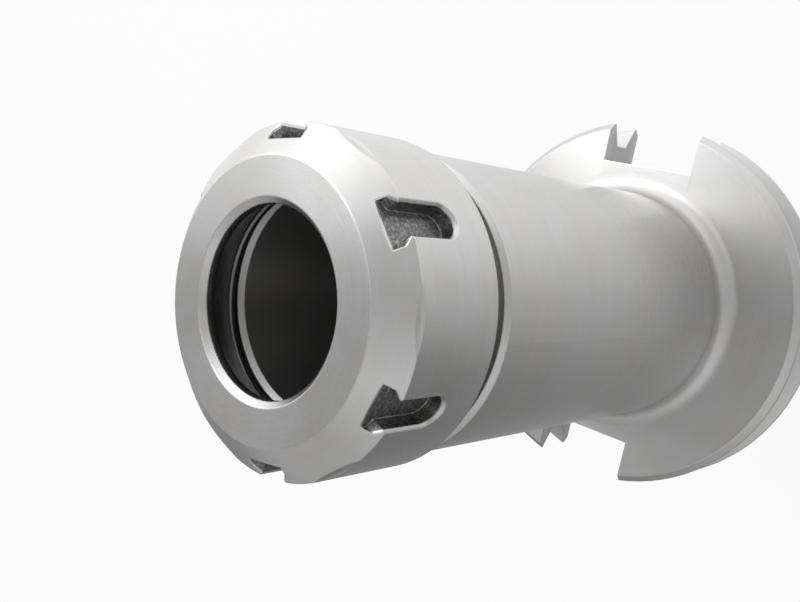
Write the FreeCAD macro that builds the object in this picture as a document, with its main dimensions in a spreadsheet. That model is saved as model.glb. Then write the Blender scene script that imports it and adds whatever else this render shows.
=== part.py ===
import FreeCAD, Part
import math
import os
import Sketcher

# Collet chuck holder, no. 50 steep-taper shank, with its slotted clamping nut.
# Millimetres. Z runs up the tool axis from the small end of the shank to the nut's front face.

doc = FreeCAD.newDocument("ColletChuckHolder")

dimensions = {
    # steep-taper shank, 7 in 24 on the diameter
    "gaugeRadius": 34.925,
    "gaugeHeight": 101.6,
    "taperRise": 7.0 / 48.0,
    "smallEndChamfer": 1.0,
    "neckRadius": 34.4,
    # gripper flange
    "flangeGap": 3.175,
    "flangeRadius": 49.2,
    "flangeThickness": 15.875,
    "rimChamfer": 1.6,
    "gripMid": 7.9375,
    "gripHalfMouth": 5.58,
    "gripHalfFloor": 2.4,
    "gripFloorRadius": 43.7,
    "driveSlotHalfWidth": 12.85,
    "driveSlotFloorA": 37.3,
    "driveSlotFloorB": 36.3,
    # straight body
    "bodyRadius": 30.0,
    "bodyLength": 95.0,
    "bodyChamfer": 1.0,
    "bodyFillet": 4.0,
    # threaded nose and collet seat
    "noseLength": 18.5,
    "noseRadius": 24.95,
    "noseChamfer": 1.2,
    "reliefRadius": 23.8,
    "reliefWidth": 3.0,
    "seatRadius": 20.5,
    "seatChamfer": 0.9,
    "seatDepth": 41.0,
    "seatRise": 0.140541,
    "boreRadius": 14.0,
    "boreDepth": 88.0,
    # pull-stud hole in the small end
    "studRadius": 12.7,
    "studDepth": 46.0,
    "pilotRadius": 13.1,
    "pilotDepth": 6.5,
    "pilotChamfer": 0.8,
    "passageRadius": 5.0,
    "drillPointRise": 0.600861,
    # clamping nut, measured from its rear face
    "nutRadius": 31.5,
    "nutLength": 25.5,
    "nutGap": 4.8,
    "nutTurn": 9.5,
    "nutRearChamfer": 0.6,
    "nutFaceRadius": 25.2,
    "nutConeLength": 4.9,
    "mouthRadius": 17.0,
    "mouthChamfer": 1.1,
    "mouthLength": 2.8,
    "pressConeRadius": 20.5,
    "pressConeRise": 0.57735,
    "pocketRadius": 22.2,
    "lipFront": 16.0,
    "lipRear": 14.8,
    "lipRadius": 20.8,
    "lipOffset": 0.7,
    "lipChamfer": 0.4,
    "runoutRadius": 25.4,
    "runoutRear": 12.3,
    "nutThreadRadius": 25.0,
    # spanner slots and the small scallops between them
    "slotHalfWidth": 2.95,
    "slotDepth": 16.65,
    "slotFloor": 28.1,
    "slotChamfer": 0.5,
    "flareHalfWidth": 4.35,
    "flareFront": 4.0,
    "flareRear": 4.8,
    "scallopRadius": 3.0,
    "scallopBite": 0.5,
    "scallopLean": 0.53,
    "scallopHalfLength": 9.0,
    "slotCount": 6,
}

sheet = doc.addObject("Spreadsheet::Sheet", "Sheet")
for row, (alias, value) in enumerate(dimensions.items(), start=1):
    sheet.set(f"A{row}", alias)
    sheet.set(f"B{row}", f"{value:.6f}")
    sheet.setAlias(f"B{row}", alias)
doc.recompute()

# heights along the shank and body, written once and reused in the sketches
flangeRear = "Sheet.gaugeHeight + Sheet.flangeGap"
flangeFace = f"{flangeRear} + Sheet.flangeThickness"
shoulder = f"{flangeFace} + Sheet.bodyLength"
noseFace = f"{shoulder} + Sheet.noseLength"
gripMid = f"{flangeRear} + Sheet.gripMid"


def valueOf(expression):
    return float(sheet.evalExpression(expression))


def newBody(label):
    body = doc.addObject("PartDesign::Body", label)
    body.Label = label
    return body


def originFeature(body, role):
    return next(feature for feature in body.Origin.OriginFeatures if feature.Role == role)


def newSketch(body, name, plane, offset=None):
    sketch = body.newObject("Sketcher::SketchObject", name)
    sketch.AttachmentSupport = (originFeature(body, plane), "")
    sketch.MapMode = "FlatFace"
    if offset:
        sketch.setExpression(".AttachmentOffset.Base.z", offset)
    return sketch


def driven(sketch, kind, target, expression):
    """Dimension on the target whose value follows a sheet expression."""
    index = sketch.addConstraint(Sketcher.Constraint(kind, *target, valueOf(expression)))
    sketch.setExpression(f"Constraints[{index}]", expression)


def addCircle(sketch, across, along, radius):
    edge = sketch.GeometryCount
    centre = FreeCAD.Vector(valueOf(across), valueOf(along), 0)
    circle = Part.Circle(centre, FreeCAD.Vector(0, 0, 1), valueOf(radius))
    sketch.addGeometry(circle, False)
    placePoint(sketch, edge, 3, across, along)
    driven(sketch, "Radius", (edge,), radius)


def placePoint(sketch, edge, end, across, along):
    """Tie one end of an edge to the sketch origin by two sheet expressions."""
    for kind, expression in (("DistanceX", across), ("DistanceY", along)):
        driven(sketch, kind, (-1, 1, edge, end), expression)


def addOutline(sketch, corners):
    """Closed outline of straight edges, each corner given as two sheet expressions."""
    first = sketch.GeometryCount
    count = len(corners)
    points = [FreeCAD.Vector(valueOf(across), valueOf(along), 0) for across, along in corners]
    for i in range(count):
        sketch.addGeometry(Part.LineSegment(points[i], points[(i + 1) % count]), False)
    for i in range(count):
        following = first + (i + 1) % count
        sketch.addConstraint(Sketcher.Constraint("Coincident", first + i, 2, following, 1))
    for i, (across, along) in enumerate(corners):
        placePoint(sketch, first + i, 1, across, along)


def addSlotOutline(sketch, wall):
    """Slot outline: the same wall on both sides, from the round end out through the mouth."""
    corners = [(f"-{across}", along) for across, along in wall] + wall[::-1]
    points = [FreeCAD.Vector(valueOf(across), valueOf(along), 0) for across, along in corners]
    for start, end in zip(points[:-1], points[1:]):
        sketch.addGeometry(Part.LineSegment(start, end), False)
    endRadius, endHeight = wall[0]
    centre = FreeCAD.Vector(0, valueOf(endHeight), 0)
    circle = Part.Circle(centre, FreeCAD.Vector(0, 0, 1), valueOf(endRadius))
    sketch.addGeometry(Part.ArcOfCircle(circle, math.pi, 2 * math.pi), False)
    arc = len(points) - 1
    for edge in range(arc - 1):
        sketch.addConstraint(Sketcher.Constraint("Coincident", edge, 2, edge + 1, 1))
    sketch.addConstraint(Sketcher.Constraint("Vertical", 0))
    sketch.addConstraint(Sketcher.Constraint("Vertical", arc - 1))
    sketch.addConstraint(Sketcher.Constraint("Tangent", arc, 1, 0, 1))
    sketch.addConstraint(Sketcher.Constraint("Tangent", arc, 2, arc - 1, 2))
    for edge, (across, along) in enumerate(corners[1:-1]):
        placePoint(sketch, edge, 2, across, along)
    driven(sketch, "DistanceY", (-1, 1, arc, 3), endHeight)


def turn(body, kind, name, sketch):
    """Full revolution of a sketch about its upright axis: Revolution adds, Groove cuts."""
    feature = body.newObject(f"PartDesign::{kind}", name)
    feature.Profile = sketch
    feature.ReferenceAxis = (sketch, ["V_Axis"])
    feature.Angle = 360.0
    sketch.Visibility = False
    doc.recompute()
    return feature


def ringEdges(feature, radius, height):
    """Names of the circular edges of a feature that lie at one radius and height."""
    names = []
    for number, edge in enumerate(feature.Shape.Edges, start=1):
        round_ = isinstance(edge.Curve, Part.Circle)
        if round_ and abs(edge.Curve.Radius - radius) < 0.01 and abs(edge.Curve.Center.z - height) < 0.01:
            names.append(f"Edge{number}")
    return names


def roundEdges(body, name, base, edges, sizeExpression):
    feature = body.newObject("PartDesign::Fillet", name)
    feature.Base = (base, edges)
    feature.Radius = 0.5
    feature.setExpression("Radius", sizeExpression)
    doc.recompute()
    return feature


def cut(body, name, sketch, length=None, reverse=False, midplane=False, flare=0):
    """Pocket to a sheet length, or through everything, checked by the volume it removes."""
    before = body.Tip.Shape.Volume
    feature = body.newObject("PartDesign::Pocket", name)
    feature.Profile = sketch
    feature.Reversed = reverse
    feature.Midplane = midplane
    if length:
        feature.Type = 0
        feature.Length = 1.0
        feature.setExpression("Length", length)
        feature.TaperAngle = flare
    else:
        feature.Type = 1
    sketch.Visibility = False
    doc.recompute()
    if feature.Shape.Volume > before - 0.01:
        raise RuntimeError(f"{name} cuts nothing")
    return feature


def buildHolder():
    body = newBody("holder_body")

    outline = newSketch(body, "HolderOutline", "XZ_Plane")
    addOutline(outline, [
        ("0", "0"),
        ("Sheet.gaugeRadius - Sheet.gaugeHeight * Sheet.taperRise - Sheet.smallEndChamfer", "0"),
        ("Sheet.gaugeRadius - (Sheet.gaugeHeight - Sheet.smallEndChamfer) * Sheet.taperRise",
         "Sheet.smallEndChamfer"),
        ("Sheet.gaugeRadius", "Sheet.gaugeHeight"),
        ("Sheet.neckRadius", "Sheet.gaugeHeight"),
        ("Sheet.neckRadius", flangeRear),
        ("Sheet.flangeRadius - Sheet.rimChamfer", flangeRear),
        ("Sheet.flangeRadius", f"{flangeRear} + Sheet.rimChamfer"),
        ("Sheet.flangeRadius", f"{flangeFace} - Sheet.rimChamfer"),
        ("Sheet.flangeRadius - Sheet.rimChamfer", flangeFace),
        ("Sheet.bodyRadius", flangeFace),
        ("Sheet.bodyRadius", f"{shoulder} - Sheet.bodyChamfer"),
        ("Sheet.bodyRadius - Sheet.bodyChamfer", shoulder),
        ("Sheet.reliefRadius", shoulder),
        ("Sheet.reliefRadius", f"{shoulder} + Sheet.reliefWidth"),
        ("Sheet.noseRadius", f"{shoulder} + Sheet.reliefWidth + Sheet.noseRadius - Sheet.reliefRadius"),
        ("Sheet.noseRadius", f"{noseFace} - Sheet.noseChamfer"),
        ("Sheet.noseRadius - Sheet.noseChamfer", noseFace),
        ("0", noseFace),
    ])
    blank = turn(body, "Revolution", "HolderBlank", outline)

    roundEdges(body, "BodyFillet", blank, ringEdges(blank, sheet.bodyRadius, valueOf(flangeFace)),
               "Sheet.bodyFillet")

    # sixty-degree gripper groove round the flange
    grip = newSketch(body, "GripOutline", "XZ_Plane")
    addOutline(grip, [
        ("Sheet.gripFloorRadius", f"{gripMid} - Sheet.gripHalfFloor"),
        ("Sheet.flangeRadius", f"{gripMid} - Sheet.gripHalfMouth"),
        ("Sheet.flangeRadius + 1", f"{gripMid} - Sheet.gripHalfMouth"),
        ("Sheet.flangeRadius + 1", f"{gripMid} + Sheet.gripHalfMouth"),
        ("Sheet.flangeRadius", f"{gripMid} + Sheet.gripHalfMouth"),
        ("Sheet.gripFloorRadius", f"{gripMid} + Sheet.gripHalfFloor"),
    ])
    turn(body, "Groove", "GripGroove", grip)

    # two drive slots, opposite each other and not equally deep
    slots = newSketch(body, "DriveSlotOutline", "XY_Plane")
    for floor, rim in (("Sheet.driveSlotFloorA", "Sheet.flangeRadius + 2"),
                       ("-Sheet.driveSlotFloorB", "-Sheet.flangeRadius - 2")):
        addOutline(slots, [
            ("-Sheet.driveSlotHalfWidth", floor),
            ("Sheet.driveSlotHalfWidth", floor),
            ("Sheet.driveSlotHalfWidth", rim),
            ("-Sheet.driveSlotHalfWidth", rim),
        ])
    cut(body, "DriveSlots", slots, reverse=True)

    # collet seat, eight degrees a side, with a plain bore and a coolant passage behind it
    seatEnd = f"{noseFace} - Sheet.seatDepth"
    boreEnd = f"{noseFace} - Sheet.boreDepth"
    seat = newSketch(body, "SeatOutline", "XZ_Plane")
    addOutline(seat, [
        ("0", noseFace),
        ("Sheet.seatRadius + Sheet.seatChamfer", noseFace),
        ("Sheet.seatRadius - Sheet.seatChamfer * Sheet.seatRise", f"{noseFace} - Sheet.seatChamfer"),
        ("Sheet.seatRadius - Sheet.seatDepth * Sheet.seatRise", seatEnd),
        ("Sheet.boreRadius", seatEnd),
        ("Sheet.boreRadius", boreEnd),
        ("0", f"{boreEnd} - Sheet.boreRadius * Sheet.drillPointRise"),
    ])
    turn(body, "Groove", "ColletSeat", seat)

    # pull-stud hole: pilot bore, thread drawn as a plain bore, drill point
    stud = newSketch(body, "StudOutline", "XZ_Plane")
    addOutline(stud, [
        ("0", "0"),
        ("Sheet.pilotRadius + Sheet.pilotChamfer", "0"),
        ("Sheet.pilotRadius", "Sheet.pilotChamfer"),
        ("Sheet.pilotRadius", "Sheet.pilotDepth"),
        ("Sheet.studRadius", "Sheet.pilotDepth"),
        ("Sheet.studRadius", "Sheet.studDepth"),
        ("0", "Sheet.studDepth + Sheet.studRadius * Sheet.drillPointRise"),
    ])
    turn(body, "Groove", "StudHole", stud)

    passage = newSketch(body, "PassageOutline", "XY_Plane")
    addCircle(passage, "0", "0", "Sheet.passageRadius")
    cut(body, "CoolantPassage", passage, reverse=True)
    return body


def buildNut():
    body = newBody("clamping_nut")
    coneRear = "Sheet.nutLength - Sheet.nutConeLength"
    pressRear = ("Sheet.nutLength - Sheet.mouthLength"
                 " - (Sheet.pressConeRadius - Sheet.mouthRadius) / Sheet.pressConeRise")

    outline = newSketch(body, "NutOutline", "XZ_Plane")
    addOutline(outline, [
        ("Sheet.nutThreadRadius", "0"),
        ("Sheet.nutRadius - Sheet.nutRearChamfer", "0"),
        ("Sheet.nutRadius", "Sheet.nutRearChamfer"),
        ("Sheet.nutRadius", coneRear),
        ("Sheet.nutFaceRadius", "Sheet.nutLength"),
        ("Sheet.mouthRadius + Sheet.mouthChamfer", "Sheet.nutLength"),
        ("Sheet.mouthRadius", "Sheet.nutLength - Sheet.mouthChamfer"),
        ("Sheet.mouthRadius", "Sheet.nutLength - Sheet.mouthLength"),
        ("Sheet.pressConeRadius", pressRear),
        ("Sheet.pocketRadius", pressRear),
        ("Sheet.pocketRadius", "Sheet.lipFront"),
        ("Sheet.lipRadius - Sheet.lipOffset", "Sheet.lipFront"),
        ("Sheet.lipRadius - Sheet.lipOffset", "Sheet.lipRear"),
        ("Sheet.runoutRadius", "Sheet.lipRear"),
        ("Sheet.runoutRadius", "Sheet.runoutRear"),
        ("Sheet.nutThreadRadius", "Sheet.runoutRear"),
    ])
    turn(body, "Revolution", "NutBlank", outline)

    # extraction lip: its opening is bored off centre, with a lead-in on the front
    lip = newSketch(body, "LipOutline", "YZ_Plane")
    lip.setExpression(".AttachmentOffset.Base.x", "-Sheet.lipOffset")
    addOutline(lip, [
        ("0", "Sheet.runoutRear"),
        ("Sheet.lipRadius", "Sheet.runoutRear"),
        ("Sheet.lipRadius", "Sheet.lipFront - Sheet.lipChamfer"),
        ("Sheet.lipRadius + Sheet.lipChamfer", "Sheet.lipFront"),
        ("0", "Sheet.lipFront"),
    ])
    turn(body, "Groove", "LipBore", lip)

    # one spanner slot: parallel walls, round rear end, walls flared at the mouth
    roundHeight = "Sheet.nutLength - Sheet.slotDepth + Sheet.slotHalfWidth"
    slot = newSketch(body, "SlotOutline", "XZ_Plane", offset="-Sheet.slotFloor")
    addSlotOutline(slot, [
        ("Sheet.slotHalfWidth", roundHeight),
        ("Sheet.slotHalfWidth", "Sheet.nutLength - Sheet.flareRear"),
        ("Sheet.flareHalfWidth", "Sheet.nutLength - Sheet.flareFront"),
        ("Sheet.flareHalfWidth", "Sheet.nutLength + 2"),
    ])
    slotCut = cut(body, "SpannerSlot", slot)

    # chamfer along the slot's outer edge, cut by walls leaning out at forty-five degrees
    edgeRadius = "sqrt(Sheet.nutRadius ^ 2 - (Sheet.slotHalfWidth + Sheet.slotChamfer) ^ 2)"
    slotEdge = newSketch(body, "SlotEdgeOutline", "XZ_Plane", offset=f"Sheet.slotChamfer - {edgeRadius}")
    addSlotOutline(slotEdge, [
        ("Sheet.slotHalfWidth", roundHeight),
        ("Sheet.slotHalfWidth", "Sheet.nutLength - Sheet.flareFront"),
    ])
    edgeCut = cut(body, "SlotEdge", slotEdge, length="3 * Sheet.slotChamfer", flare=45)

    # shallow scallop across the corner of cone and rim, halfway between two slots
    scallop = newSketch(body, "ScallopOutline", "XZ_Plane")
    reach = "(Sheet.scallopRadius - Sheet.scallopBite)"
    addCircle(scallop, f"Sheet.nutRadius + {reach} * sqrt(1 - Sheet.scallopLean ^ 2)",
              f"{coneRear} + {reach} * Sheet.scallopLean", "Sheet.scallopRadius")
    scallopCut = cut(body, "CornerScallop", scallop, length="2 * Sheet.scallopHalfLength", midplane=True)

    pattern = body.newObject("PartDesign::PolarPattern", "SlotPattern")
    pattern.Originals = [slotCut, edgeCut, scallopCut]
    pattern.Axis = (originFeature(body, "Z_Axis"), [""])
    pattern.Angle = 360.0
    pattern.Occurrences = 6
    pattern.setExpression("Occurrences", "Sheet.slotCount")
    body.Tip = pattern
    doc.recompute()

    body.setExpression(".Placement.Base.z", f"{shoulder} + Sheet.nutGap")
    body.setExpression(".Placement.Rotation.Angle", "Sheet.nutTurn")
    return body


holder = buildHolder()
nut = buildNut()
doc.recompute()

for item in doc.Objects:
    if "Invalid" in item.State or "Error" in item.State:
        raise RuntimeError(f"{item.Name} failed: {item.State}")
for part in (holder, nut):
    if part.Shape.isNull() or not part.Shape.isValid():
        raise RuntimeError(f"{part.Label} has no valid shape")

os.makedirs("parts", exist_ok=True)
for part in (holder, nut):
    part.Shape.exportStep(f"parts/{part.Label}.step")
    box = part.Shape.BoundBox
    print(part.Label, f"{part.Shape.Volume / 1000:.1f} cm3, z {box.ZMin:.2f} to {box.ZMax:.2f}")
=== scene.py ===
import math

import bpy
from mathutils import Matrix, Vector


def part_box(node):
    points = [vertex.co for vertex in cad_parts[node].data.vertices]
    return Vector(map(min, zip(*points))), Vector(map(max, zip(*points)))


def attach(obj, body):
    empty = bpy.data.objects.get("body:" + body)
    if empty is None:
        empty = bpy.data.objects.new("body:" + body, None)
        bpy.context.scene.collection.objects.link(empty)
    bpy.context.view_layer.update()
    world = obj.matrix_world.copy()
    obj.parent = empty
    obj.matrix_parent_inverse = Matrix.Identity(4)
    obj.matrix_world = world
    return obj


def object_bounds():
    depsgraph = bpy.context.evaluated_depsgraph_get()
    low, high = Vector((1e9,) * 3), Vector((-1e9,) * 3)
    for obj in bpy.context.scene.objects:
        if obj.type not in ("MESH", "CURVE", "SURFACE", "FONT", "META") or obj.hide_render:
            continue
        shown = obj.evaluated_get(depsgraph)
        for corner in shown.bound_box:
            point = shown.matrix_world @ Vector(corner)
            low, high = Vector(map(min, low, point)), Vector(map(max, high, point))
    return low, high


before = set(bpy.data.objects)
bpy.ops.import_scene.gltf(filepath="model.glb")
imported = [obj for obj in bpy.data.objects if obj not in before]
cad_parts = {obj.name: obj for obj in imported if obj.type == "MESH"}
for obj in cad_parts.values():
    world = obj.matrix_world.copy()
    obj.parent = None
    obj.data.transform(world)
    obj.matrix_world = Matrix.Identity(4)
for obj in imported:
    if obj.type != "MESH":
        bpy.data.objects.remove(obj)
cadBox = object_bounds()
print("frame loaded:", ", ".join(sorted(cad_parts)))

mm = 0.001
nutLow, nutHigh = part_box("clamping_nut")

# directions of the studio: up in the picture, and across it at right angles to the tool axis
studioRoll = math.radians(14.6)
acrossPicture = Vector((math.cos(studioRoll), math.sin(studioRoll), 0))
upPicture = Vector((-math.sin(studioRoll), math.cos(studioRoll), 0))


def newMaterial(name):
    mat = bpy.data.materials.new(name)
    mat.use_nodes = True
    mat.node_tree.nodes.clear()
    return mat


class Wiring:
    # short way to write a chain of nodes in one node tree
    def __init__(self, tree):
        self.nodes = tree.nodes
        self.links = tree.links

    def put(self, kind, inputs=None, **settings):
        node = self.nodes.new(kind)
        for key, value in settings.items():
            setattr(node, key, value)
        for key, value in (inputs or {}).items():
            self.plug(node.inputs[key], value)
        return node

    def plug(self, socket, value):
        if isinstance(value, bpy.types.NodeSocket):
            self.links.new(value, socket)
        else:
            socket.default_value = value

    def math(self, operation, a, b=0.0, c=0.0):
        return self.put("ShaderNodeMath", {0: a, 1: b, 2: c}, operation=operation).outputs[0]

    def vector(self, operation, a, b):
        return self.put("ShaderNodeVectorMath", {0: a, 1: b}, operation=operation)

    def smooth(self, value, low, high):
        # 0 below low, 1 above high, eased between
        node = self.put("ShaderNodeMapRange", {"Value": value, "From Min": low, "From Max": high},
                        interpolation_type="SMOOTHSTEP")
        return node.outputs["Result"]

    def band(self, value, low, high, soft):
        # 1 between low and high, falling off over the soft width
        rise = self.smooth(value, low - soft, low)
        fall = self.smooth(value, high + soft, high)
        return self.math("MULTIPLY", rise, fall)

    def mix(self, factor, a, b):
        node = self.put("ShaderNodeMix", {0: factor, 6: a, 7: b}, data_type="RGBA")
        return node.outputs[2]

    def blend(self, factor, a, b):
        return self.put("ShaderNodeMix", {0: factor, 2: a, 3: b}, data_type="FLOAT").outputs[0]

    def noise(self, vector, scale, detail, fourth=0.0):
        settings = {"Vector": vector, "W": fourth, "Scale": scale, "Detail": detail}
        return self.put("ShaderNodeTexNoise", settings, noise_dimensions="4D").outputs["Fac"]

    def ramp(self, value, stops):
        # stops: list of (place, brightness)
        node = self.put("ShaderNodeValToRGB", {"Fac": value})
        bar = node.color_ramp
        while len(bar.elements) < len(stops):
            bar.elements.new(0.5)
        for element, (place, tone) in zip(bar.elements, stops):
            element.position = place
            element.color = (tone, tone, tone, 1)
        return node.outputs["Color"]


cam = {
    "axisTilt": 0.717,    # tool axis to the line of sight, radians
    "distance": 154.8,    # nut face to lens along the line of sight, mm
    "faceRight": -23.5,   # centre of the nut's face from the line of sight, mm
    "faceDown": 0.2,
    "lens": 40.84,
    "clipStart": 5,
}


def makeCamera():
    tilt = cam["axisTilt"]
    axis = Vector((0, 0, -1))
    right = math.sin(tilt) * axis + math.cos(tilt) * acrossPicture
    forward = math.cos(tilt) * axis - math.sin(tilt) * acrossPicture
    face = Vector((0, 0, nutHigh.z))
    offset = cam["faceRight"] * right - cam["faceDown"] * upPicture + cam["distance"] * forward
    camData = bpy.data.cameras.new("studioCamera")
    camData.lens = cam["lens"]
    camData.clip_start = cam["clipStart"] * mm
    camObj = bpy.data.objects.new("studioCamera", camData)
    bpy.context.scene.collection.objects.link(camObj)
    turn = Matrix((right, upPicture, -forward)).transposed()
    camObj.matrix_world = Matrix.Translation(face - mm * offset) @ turn.to_4x4()
    bpy.context.scene.camera = camObj


makeCamera()
print("camera placed")


finish = {
    "coarseShare": 0.17,                 # scale of the broad rings over that of the fine ones
    "ringDetail": 3.0,
    "coarseDetail": 2.0,
    "cloudDetail": 3.0,
    "warmLow": 0.35, "warmHigh": 0.65,   # cloud values between which the warm tint fades out
    "edgeHighlightLow": 0.01, "edgeHighlightHigh": 0.16,   # bend of an edge where the painted highlight starts and is full
    "edgeSamples": 6,
    "turnedRotation": 0.25,              # streaks run round the axis
}


# turned and ground steel: fine rings round the tool axis, soft patches, edges lightened as painted highlights
def turnedSteel(name, look, shade):
    # shade(w, r, z, tone, rough) returns the piece's tone, with painted shade in its hollows, and its
    # roughness
    mat = newMaterial(name)
    w = Wiring(mat.node_tree)
    place = w.put("ShaderNodeTexCoord").outputs["Object"]
    xyz = w.put("ShaderNodeSeparateXYZ", {0: place}).outputs
    x = w.math("DIVIDE", xyz[0], mm)
    y = w.math("DIVIDE", xyz[1], mm)
    z = w.math("DIVIDE", xyz[2], mm)
    r = w.math("SQRT", w.math("ADD", w.math("MULTIPLY", x, x), w.math("MULTIPLY", y, y)))
    angle = w.math("ARCTAN2", y, x)
    # the fourth value closes the rings on themselves all round
    cosine = w.math("MULTIPLY", w.math("COSINE", angle), look["ringDrift"])
    sine = w.math("MULTIPLY", w.math("SINE", angle), look["ringDrift"])
    rings = w.put("ShaderNodeCombineXYZ", {0: r, 1: z, 2: cosine}).outputs[0]
    patches = w.put("ShaderNodeCombineXYZ", {0: x, 1: y, 2: z}).outputs[0]
    fine = w.noise(rings, look["ringScale"], finish["ringDetail"], sine)
    coarseScale = look["ringScale"] * finish["coarseShare"]
    coarse = w.noise(rings, coarseScale, finish["coarseDetail"], sine)
    cloud = w.noise(patches, look["cloudScale"], finish["cloudDetail"])
    tone = w.math("MULTIPLY_ADD", w.math("SUBTRACT", cloud, 0.5), look["cloudTone"], look["tone"])
    tone = w.math("MULTIPLY_ADD", w.math("SUBTRACT", coarse, 0.5), look["ringTone"], tone)
    rough = w.math("MULTIPLY_ADD", w.math("SUBTRACT", fine, 0.5), look["ringRough"], look["rough"])
    rough = w.math("MULTIPLY_ADD", w.math("SUBTRACT", cloud, 0.5), look["cloudRough"], rough)
    tone, rough, grain = shade(w, r, z, patches, tone, rough)
    edge = w.put("ShaderNodeBevel", {"Radius": look["edge"] * mm}, samples=finish["edgeSamples"])
    edge = edge.outputs["Normal"]
    flat = w.put("ShaderNodeNewGeometry").outputs["Normal"]
    bend = w.math("SUBTRACT", 1.0, w.vector("DOT_PRODUCT", edge, flat).outputs["Value"])
    # edges lightened in the colour by how sharply they bend: a painted highlight
    edgeHighlight = w.smooth(bend, finish["edgeHighlightLow"], finish["edgeHighlightHigh"])
    tone = w.math("MULTIPLY_ADD", edgeHighlight, look["edgeHighlight"], tone)
    relief = w.math("MULTIPLY_ADD", fine, look["ringDepth"], w.math("MULTIPLY", grain, look["grainDepth"]))
    bump = w.put("ShaderNodeBump", {"Height": relief, "Distance": mm, "Strength": 1.0, "Normal": edge})
    plain = w.smooth(cloud, finish["warmLow"], finish["warmHigh"])
    tint = w.mix(plain, (*look["warm"], 1), (1, 1, 1, 1))
    colour = w.put("ShaderNodeVectorMath", {0: tint, "Scale": tone}, operation="SCALE").outputs[0]
    lathe = w.put("ShaderNodeTangent", direction_type="RADIAL", axis="Z").outputs[0]
    bsdf = w.put("ShaderNodeBsdfPrincipled", {
        "Base Color": colour, "Metallic": 1.0, "Roughness": rough, "Anisotropic": look["across"],
        "Anisotropic Rotation": finish["turnedRotation"], "Tangent": lathe, "Normal": bump.outputs["Normal"]})
    w.put("ShaderNodeOutputMaterial", {"Surface": bsdf.outputs["BSDF"]})
    return mat


def dress(node, mat):
    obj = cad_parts[node]
    obj.data.materials.clear()
    obj.data.materials.append(mat)


nut = {
    "tone": 0.62, "rough": 0.27, "warm": (1.0, 0.985, 0.965), "edge": 0.45, "edgeHighlight": 0.16,
    "ringScale": 5.5, "ringDrift": 0.7, "ringTone": 0.05, "ringRough": 0.10, "ringDepth": 0.0012,
    "cloudScale": 0.09, "cloudTone": 0.08, "cloudRough": 0.10, "grainDepth": 0.05, "across": 0.55,
    "radius": 31.5, "coneLength": 4.9, "faceRadius": 25.2,   # outer shape of the nut, mm
    "slotTone": 0.17, "slotRough": 0.42, "slotSpeckle": 0.22,
    "slotSkin": (0.45, 0.75),       # depth under the outer shape where the dark scale starts, mm
    "slotInner": (26.0, 27.0),      # radius that it stays outside of
    "slotRear": (1.0, 3.0),         # height above the nut's rear face where it starts
    "speckScale": 1.9, "speckDetail": 4.0, "speckRange": (0.42, 0.68),
    "insideShadeTone": 0.22,
    "insideDepth": (1.2, 2.6),      # depth behind the front face where the painted shade of the inside starts
    "insideRadius": (26.2, 25.2),
}


def shadeNut(w, r, z, place, tone, rough):
    top = nutHigh.z / mm
    lean = (nut["radius"] - nut["faceRadius"]) / nut["coneLength"]
    coneRadius = w.math("MULTIPLY_ADD", w.math("SUBTRACT", top, z), lean, nut["faceRadius"])
    outer = w.math("MINIMUM", coneRadius, nut["radius"])
    depth = w.math("SUBTRACT", outer, r)
    # unground walls of the spanner slots: dark scale with light specks
    rear = w.math("SUBTRACT", z, nutLow.z / mm)
    slot = w.math("MULTIPLY", w.smooth(depth, *nut["slotSkin"]), w.smooth(r, *nut["slotInner"]))
    slot = w.math("MULTIPLY", slot, w.smooth(rear, *nut["slotRear"]))
    speck = w.noise(place, nut["speckScale"], nut["speckDetail"])
    light = w.smooth(speck, *nut["speckRange"])
    slotTone = w.math("MULTIPLY_ADD", light, nut["slotSpeckle"], nut["slotTone"])
    # press cone and thread side, darkened as painted shade
    fromFace = w.math("SUBTRACT", top, z)
    deep = w.smooth(fromFace, *nut["insideDepth"])
    insideShade = w.math("MULTIPLY", deep, w.smooth(r, *nut["insideRadius"]))
    tone = w.blend(insideShade, tone, nut["insideShadeTone"])
    tone = w.blend(slot, tone, slotTone)
    rough = w.blend(slot, rough, nut["slotRough"])
    grain = w.math("MULTIPLY", speck, slot)
    return tone, rough, grain


dress("clamping_nut", turnedSteel("nutSteel", nut, shadeNut))
print("nut dressed")


holder = {
    "tone": 0.60, "rough": 0.29, "warm": (1.0, 0.985, 0.96), "edge": 0.4, "edgeHighlight": 0.14,
    "ringScale": 4.5, "ringDrift": 0.7, "ringTone": 0.05, "ringRough": 0.10, "ringDepth": 0.0012,
    "cloudScale": 0.06, "cloudTone": 0.07, "cloudRough": 0.10, "grainDepth": 0.02, "across": 0.6,
    "flangeLow": 104.8, "flangeHigh": 120.6,                 # heights of the flange's faces, mm
    "flangeSoft": 0.3,
    "taperTop": 101.6, "taperSoft": 0.4, "taperRough": 0.20,
    "gripRadius": 44.5, "gripOuter": 48.6, "gripLip": 3, "gripSoft": 0.5,
    "gripShadeTone": 0.5, "gripShare": 0.6,
    "driveHalfWidth": 12.8, "driveSoft": 0.2, "driveInner": (35.0, 36.0), "driveRough": 0.36,
    "millScale": 2.2, "millDetail": 3.0,
    "seatRadius": (21.6, 20.9),     # the bore and collet seat lie inside this radius, mm
    "seatHeight": (138.0, 140.0),   # and above this height
    "seatShadeTone": 0.42, "seatRough": 0.33,
}


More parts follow.
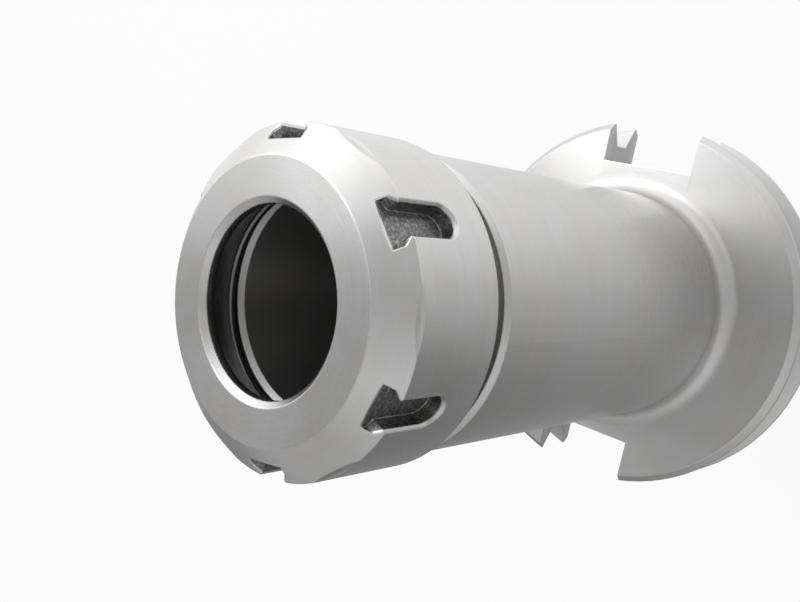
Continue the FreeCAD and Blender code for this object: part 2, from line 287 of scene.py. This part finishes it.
def shadeHolder(w, r, z, place, tone, rough):
    # ground taper is smoother than the turned body
    taper = w.smooth(z, holder["taperTop"] + holder["taperSoft"], holder["taperTop"] - holder["taperSoft"])
    rough = w.blend(taper, rough, holder["taperRough"])
    # milled drive slots cut through the flange
    flange = w.band(z, holder["flangeLow"], holder["flangeHigh"], holder["flangeSoft"])
    x = w.math("ABSOLUTE", w.put("ShaderNodeSeparateXYZ", {0: place}).outputs[0])
    between = w.smooth(x, holder["driveHalfWidth"] + holder["driveSoft"], holder["driveHalfWidth"])
    milled = w.math("MULTIPLY", flange, between)
    milled = w.math("MULTIPLY", milled, w.smooth(r, *holder["driveInner"]))
    rough = w.blend(milled, rough, holder["driveRough"])
    # gripper groove toned a little darker as painted shade
    gripLow = holder["flangeLow"] + holder["gripLip"]
    gripHigh = holder["flangeHigh"] - holder["gripLip"]
    groove = w.math("MULTIPLY", w.band(z, gripLow, gripHigh, holder["gripSoft"]),
                    w.smooth(r, holder["gripOuter"], holder["gripRadius"]))
    tone = w.blend(w.math("MULTIPLY", groove, holder["gripShare"]), tone, holder["gripShadeTone"])
    # collet seat and bore: tone darkened as painted shade, and rougher
    seat = w.math("MULTIPLY", w.smooth(r, *holder["seatRadius"]), w.smooth(z, *holder["seatHeight"]))
    tone = w.blend(seat, tone, holder["seatShadeTone"])
    rough = w.blend(seat, rough, holder["seatRough"])
    grain = w.math("MULTIPLY", w.noise(place, holder["millScale"], holder["millDetail"]), milled)
    return tone, rough, grain


dress("holder_body", turnedSteel("holderSteel", holder, shadeHolder))
print("holder dressed")


# internal thread of the pull-stud hole, one ridge wound up the wall
studThread = {
    "wall": 12.72,      # just behind the hole's wall, mm
    "crest": 11.25,
    "pitch": 3.175,
    "root": 2.7,        # ridge width at the wall
    "tip": 0.5,
    "start": 0.04,      # share of the full ridge at its two ends
    "low": 8.2,
    "high": 43.5,
    "stepsPerTurn": 72,
}


def threadRidge(name, t, body, mat):
    turns = (t["high"] - t["low"]) / t["pitch"]
    steps = int(turns * t["stepsPerTurn"])
    section = [(t["wall"], -t["root"] / 2), (t["crest"], -t["tip"] / 2),
               (t["crest"], t["tip"] / 2), (t["wall"], t["root"] / 2)]
    verts, faces = [], []
    for i in range(steps + 1):
        a = 2 * math.pi * i / t["stepsPerTurn"]
        height = t["low"] + t["pitch"] * i / t["stepsPerTurn"]
        # the ridge grows out of the wall over its first and last half turn
        grow = min(1.0, 2.0 * i / t["stepsPerTurn"], 2.0 * (steps - i) / t["stepsPerTurn"])
        grow = max(t["start"], grow)
        for radius, up in section:
            depth = t["wall"] - (t["wall"] - radius) * grow
            verts.append((depth * math.cos(a) * mm, depth * math.sin(a) * mm, (height + up * grow) * mm))
    for i in range(steps):
        for k in range(4):
            a, b = 4 * i + k, 4 * i + (k + 1) % 4
            faces.append((a, b, b + 4, a + 4))
    faces.append((3, 2, 1, 0))
    faces.append(tuple(4 * steps + k for k in range(4)))
    mesh = bpy.data.meshes.new(name)
    mesh.from_pydata(verts, [], faces)
    mesh.validate()
    mesh.materials.append(mat)
    ridge = bpy.data.objects.new(name, mesh)
    bpy.context.scene.collection.objects.link(ridge)
    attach(ridge, body)


threadRidge("pull_stud_thread", studThread, "holder",
            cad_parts["holder_body"].data.materials[0])
print("thread wound")


studio = {
    "floorHalf": 1.5,
    "floorGlow": 0.86,
    # the floor as the steel mirrors it, from low to high in the picture over this span in metres
    "floorSpan": 0.5,
    "floorMirrored": [(0.0, 0.14), (0.2, 0.22), (0.33, 0.40), (0.5, 0.58), (0.67, 0.80),
                      (0.8, 1.05), (1.0, 1.2)],
    # brightness of the room that the steel mirrors: stops run from low (0) to high (1) in the picture
    "frontLeft": [(0.0, 0.50), (0.1, 0.52), (0.3, 0.45), (0.42, 0.40), (0.465, 0.50), (0.5, 0.34),
                  (0.52, 0.42), (0.555, 1.05), (0.75, 1.35), (1.0, 1.6)],
    "frontRight": [(0.0, 0.60), (0.18, 0.78), (0.35, 0.62), (0.5, 0.52), (0.75, 0.66), (0.9, 1.1),
                   (1.0, 1.3)],
    "backLeft": [(0.0, 0.30), (0.25, 0.45), (0.5, 0.8), (0.7, 1.05), (1.0, 1.3)],
    "backRight": [(0.0, 0.16), (0.19, 0.20), (0.29, 0.38), (0.5, 0.58), (0.72, 0.78), (0.82, 1.0),
                  (1.0, 1.1)],
    "floorPale": (0.85, 0.85, 0.85, 1),
    "roomPale": (0.8, 0.8, 0.8, 1),      # the room for every ray but camera, glass and mirror rays
    "sideSoft": 0.35,                    # how softly left and right of the room meet
    "heightSoft": 0.15,                  # and front and back
    "lampPower": 1.6,
    "lampSize": 0.5,
    "lampUp": 0.45, "lampAcross": -0.35, "lampHigh": 0.75,
    "lampAim": 0.12,                     # height that the lamp points at, metres
}


def makeFloor():
    half = studio["floorHalf"]
    mesh = bpy.data.meshes.new("floor")
    corners = [(x * half, y * half, cadBox[0].z) for x, y in ((-1, -1), (1, -1), (1, 1), (-1, 1))]
    mesh.from_pydata(corners, [], [(0, 1, 2, 3)])
    floor = bpy.data.objects.new("floor", mesh)
    bpy.context.scene.collection.objects.link(floor)
    mat = newMaterial("floorWhite")
    w = Wiring(mat.node_tree)
    path = w.put("ShaderNodeLightPath").outputs
    place = w.put("ShaderNodeTexCoord").outputs["Object"]
    lift = w.vector("DOT_PRODUCT", place, upPicture).outputs["Value"]
    mirrored = w.ramp(w.math("MULTIPLY_ADD", lift, 1 / studio["floorSpan"], 0.5), studio["floorMirrored"])
    tone = w.mix(path["Is Glossy Ray"], (1, 1, 1, 1), mirrored)
    straight = w.math("MAXIMUM", path["Is Camera Ray"], path["Is Transmission Ray"])
    seen = w.math("MAXIMUM", straight, path["Is Glossy Ray"])
    diffuse = w.put("ShaderNodeBsdfDiffuse", {"Color": studio["floorPale"]})
    glow = w.put("ShaderNodeEmission", {"Color": tone, "Strength": 1.0})
    share = w.math("MULTIPLY", seen, studio["floorGlow"])
    both = w.put("ShaderNodeMixShader", {0: share, 1: diffuse.outputs[0], 2: glow.outputs[0]})
    w.put("ShaderNodeOutputMaterial", {"Surface": both.outputs[0]})
    mesh.materials.append(mat)


def makeWorld():
    world = bpy.data.worlds.new("studio")
    bpy.context.scene.world = world
    world.use_nodes = True
    world.node_tree.nodes.clear()
    w = Wiring(world.node_tree)
    direction = w.put("ShaderNodeTexCoord").outputs["Generated"]
    lift = w.vector("DOT_PRODUCT", direction, upPicture).outputs["Value"]
    across = w.vector("DOT_PRODUCT", direction, acrossPicture).outputs["Value"]
    height = w.put("ShaderNodeSeparateXYZ", {0: direction}).outputs["Z"]
    place = w.math("MULTIPLY_ADD", lift, 0.5, 0.5)
    side = w.smooth(across, -studio["sideSoft"], studio["sideSoft"])
    front = w.mix(side, w.ramp(place, studio["frontLeft"]), w.ramp(place, studio["frontRight"]))
    back = w.mix(side, w.ramp(place, studio["backLeft"]), w.ramp(place, studio["backRight"]))
    tone = w.mix(w.smooth(height, -studio["heightSoft"], studio["heightSoft"]), back, front)
    path = w.put("ShaderNodeLightPath").outputs
    # white behind the piece and through glass; steel mirrors the room's own tones
    straight = w.math("MAXIMUM", path["Is Camera Ray"], path["Is Transmission Ray"])
    room = w.mix(path["Is Glossy Ray"], studio["roomPale"], tone)
    seen = w.mix(straight, room, (1, 1, 1, 1))
    light = w.put("ShaderNodeBackground", {"Color": seen, "Strength": 1.0})
    w.put("ShaderNodeOutputWorld", {"Surface": light.outputs[0]})


def makeLamp():
    lamp = bpy.data.lights.new("softLamp", "AREA")
    lamp.energy = studio["lampPower"]
    lamp.size = studio["lampSize"]
    lampObj = bpy.data.objects.new("softLamp", lamp)
    bpy.context.scene.collection.objects.link(lampObj)
    spot = studio["lampUp"] * upPicture + studio["lampAcross"] * acrossPicture
    spot.z = studio["lampHigh"]
    lampObj.location = spot
    aim = Vector((0, 0, studio["lampAim"])) - spot
    lampObj.rotation_euler = aim.to_track_quat("-Z", "Y").to_euler()


makeFloor()
makeWorld()
makeLamp()
print("studio lit")

bpy.context.scene.view_settings.view_transform = "Standard"
